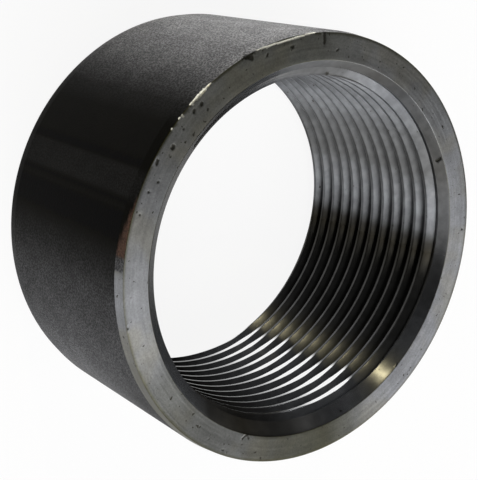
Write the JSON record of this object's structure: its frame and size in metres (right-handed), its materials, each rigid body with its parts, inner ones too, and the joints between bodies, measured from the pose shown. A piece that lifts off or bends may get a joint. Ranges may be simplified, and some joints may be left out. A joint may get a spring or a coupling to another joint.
{
  "type": "tank coupling",
  "caption": "Short round steel coupling with a straight inside pipe thread right through, countersunk at both ends, for welding into a tank wall.",
  "frame": {"origin": "middle of the lower end, on the bore's axis", "axes": "+Z along the bore from the lower end to the upper end, which is the end the picture shows; the picture looks along +Y and down on the upper end"},
  "size_m": [0.056, 0.056, 0.0293],
  "materials": {
    "turned_steel": "satin"
  },
  "bodies": {
    "root": {"coupling_body": "turned_steel"}
  },
  "joints": []
}
